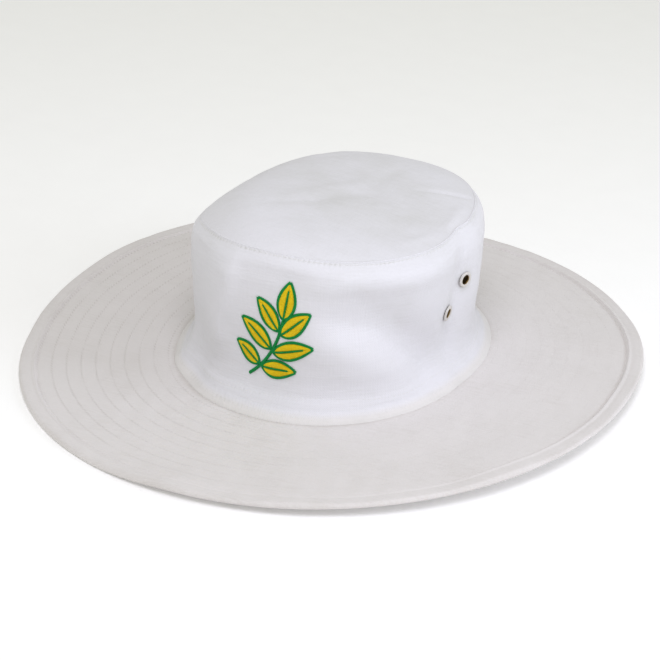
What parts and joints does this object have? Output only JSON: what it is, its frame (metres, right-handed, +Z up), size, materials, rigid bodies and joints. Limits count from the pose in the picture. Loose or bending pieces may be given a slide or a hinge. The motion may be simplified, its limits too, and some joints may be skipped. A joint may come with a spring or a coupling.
{
  "type": "sun hat",
  "caption": "Wide-brimmed cotton sun hat with a soft oval crown, domed top, row-stitched brim with a turned hem, inner sweatband and side ventilation eyelets.",
  "frame": {"origin": "middle of the hat's outline in plan, on the surface that it rests on", "axes": "-Y toward the front of the hat, +X toward the wearer's left, +Z up through the crown"},
  "size_m": [0.3478, 0.3846, 0.1008],
  "materials": {
    "brim_cloth": "warm off-white cotton canvas, matt",
    "crown_cloth": "white cotton canvas, matt",
    "band_cloth": "soft white cotton tape, matt",
    "stitch_thread": "cream sewing thread, slight sheen",
    "gold_thread": "gold embroidery thread, silky",
    "green_thread": "green embroidery thread, silky",
    "eyelet_enamel": "white enamel over brass, satin",
    "eyelet_brass": "worn brass inside the hole"
  },
  "bodies": {
    "root": {"brim": "brim_cloth", "crown_side_front": "crown_cloth", "crown_side_back": "crown_cloth", "crown_top": "crown_cloth", "sweatband": "band_cloth", "eyelet_left_back": "eyelet_enamel", "eyelet_left_front": "eyelet_enamel", "eyelet_right_back": "eyelet_enamel", "eyelet_right_front": "eyelet_enamel"}
  },
  "joints": []
}
